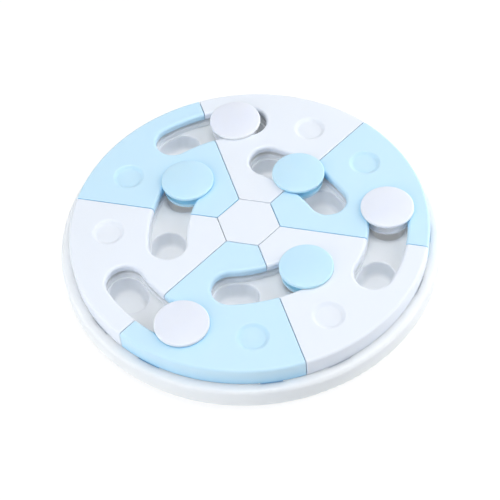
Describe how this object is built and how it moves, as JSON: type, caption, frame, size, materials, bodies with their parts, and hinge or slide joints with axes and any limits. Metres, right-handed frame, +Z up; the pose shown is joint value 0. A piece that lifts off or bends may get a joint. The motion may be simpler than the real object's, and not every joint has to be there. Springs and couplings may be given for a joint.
{
  "type": "sliding puzzle feeder for dogs",
  "caption": "Round dog puzzle feeder: a tray of food wells under blue and white wedge panels with arc slots, and round knobs that slide along the slots to cover and uncover the wells.",
  "frame": {"origin": "on the floor, under the middle of the board", "axes": "+Z up through the hub plate; +Y along the seam of outer slot 1"},
  "size_m": [0.25, 0.25, 0.0337],
  "materials": {
    "tray_white": "satin moulded",
    "panel_white": "satin moulded",
    "panel_blue": "satin moulded",
    "knob_white": "satin moulded",
    "knob_blue": "satin moulded",
    "screw_steel": "zinc plated",
    "foot_rubber": "matte"
  },
  "bodies": {
    "base": {"base_tray": "tray_white", "hub_plate": "panel_white", "panel_blue_1": "panel_blue", "panel_blue_2": "panel_blue", "panel_blue_3": "panel_blue", "panel_white_1": "panel_white", "panel_white_2": "panel_white", "panel_white_3": "panel_white", "panel_screws": "screw_steel", "hub_screw": "screw_steel", "foot_1": "foot_rubber", "foot_2": "foot_rubber", "foot_3": "foot_rubber", "foot_4": "foot_rubber", "foot_5": "foot_rubber", "foot_6": "foot_rubber"},
    "knob_outer_1": {"cap_outer_1": "knob_white", "slider_outer_1": "knob_white", "cap_screw_outer_1": "screw_steel"},
    "knob_outer_2": {"cap_outer_2": "knob_white", "slider_outer_2": "knob_white", "cap_screw_outer_2": "screw_steel"},
    "knob_outer_3": {"cap_outer_3": "knob_white", "slider_outer_3": "knob_white", "cap_screw_outer_3": "screw_steel"},
    "knob_inner_1": {"cap_inner_1": "knob_blue", "slider_inner_1": "knob_blue", "cap_screw_inner_1": "screw_steel"},
    "knob_inner_2": {"cap_inner_2": "knob_blue", "slider_inner_2": "knob_blue", "cap_screw_inner_2": "screw_steel"},
    "knob_inner_3": {"cap_inner_3": "knob_blue", "slider_inner_3": "knob_blue", "cap_screw_inner_3": "screw_steel"}
  },
  "joints": [
    {"name": "slide_outer_1", "type": "hinge", "parent": "base", "child": "knob_outer_1", "pos_m": [0, 0, 0.0225], "axis": [0, 0, 1], "range_deg": [-5.75, 28.59]},
    {"name": "slide_outer_2", "type": "hinge", "parent": "base", "child": "knob_outer_2", "pos_m": [0, 0, 0.0225], "axis": [0, 0, 1], "range_deg": [-34.34, 0]},
    {"name": "slide_outer_3", "type": "hinge", "parent": "base", "child": "knob_outer_3", "pos_m": [0, 0, 0.0225], "axis": [0, 0, 1], "range_deg": [-32.97, 1.37]},
    {"name": "slide_inner_1", "type": "hinge", "parent": "base", "child": "knob_inner_1", "pos_m": [-0.03386, -0.01955, 0.0225], "axis": [0, 0, 1], "range_deg": [-18.77, 15.57]},
    {"name": "slide_inner_2", "type": "hinge", "parent": "base", "child": "knob_inner_2", "pos_m": [0, 0.0391, 0.0225], "axis": [0, 0, 1], "range_deg": [-31.99, 2.35]},
    {"name": "slide_inner_3", "type": "hinge", "parent": "base", "child": "knob_inner_3", "pos_m": [0.03386, -0.01955, 0.0225], "axis": [0, 0, 1], "range_deg": [0, 34.34]}
  ]
}
